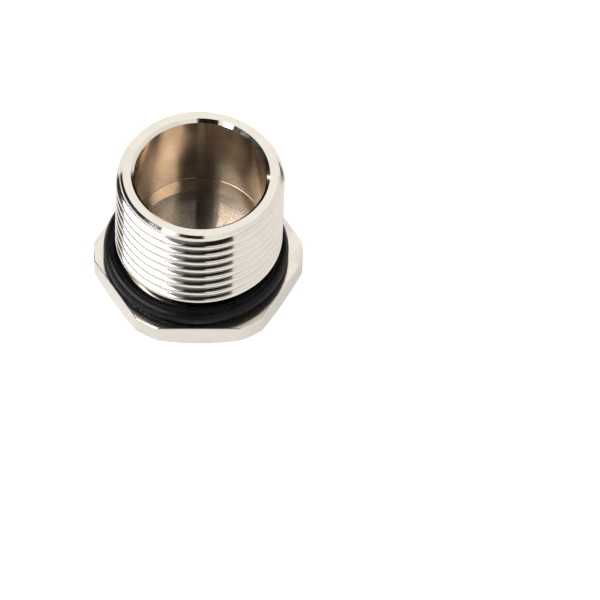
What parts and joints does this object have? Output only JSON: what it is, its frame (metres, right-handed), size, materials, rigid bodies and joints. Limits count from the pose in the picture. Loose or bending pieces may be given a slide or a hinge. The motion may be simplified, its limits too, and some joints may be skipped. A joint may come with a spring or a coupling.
{
  "type": "stopping plug",
  "caption": "Hollow metal stopping plug with an external thread, a thin hexagon head and a rubber sealing ring, used to close an unused conduit or cable entry.",
  "frame": {"origin": "centre of the head's outer face, the face it stands on", "axes": "+Z along the thread's axis from the head to the open mouth; a flat of the hexagon faces -Y and two of its corners lie on X"},
  "size_m": [0.025, 0.023, 0.0183],
  "materials": {
    "plated_brass": "nickel plated, satin, with fine turning marks",
    "black_rubber": "moulded, slightly glossy"
  },
  "bodies": {
    "root": {"plug_body": "plated_brass", "sealing_ring": "black_rubber"}
  },
  "joints": []
}
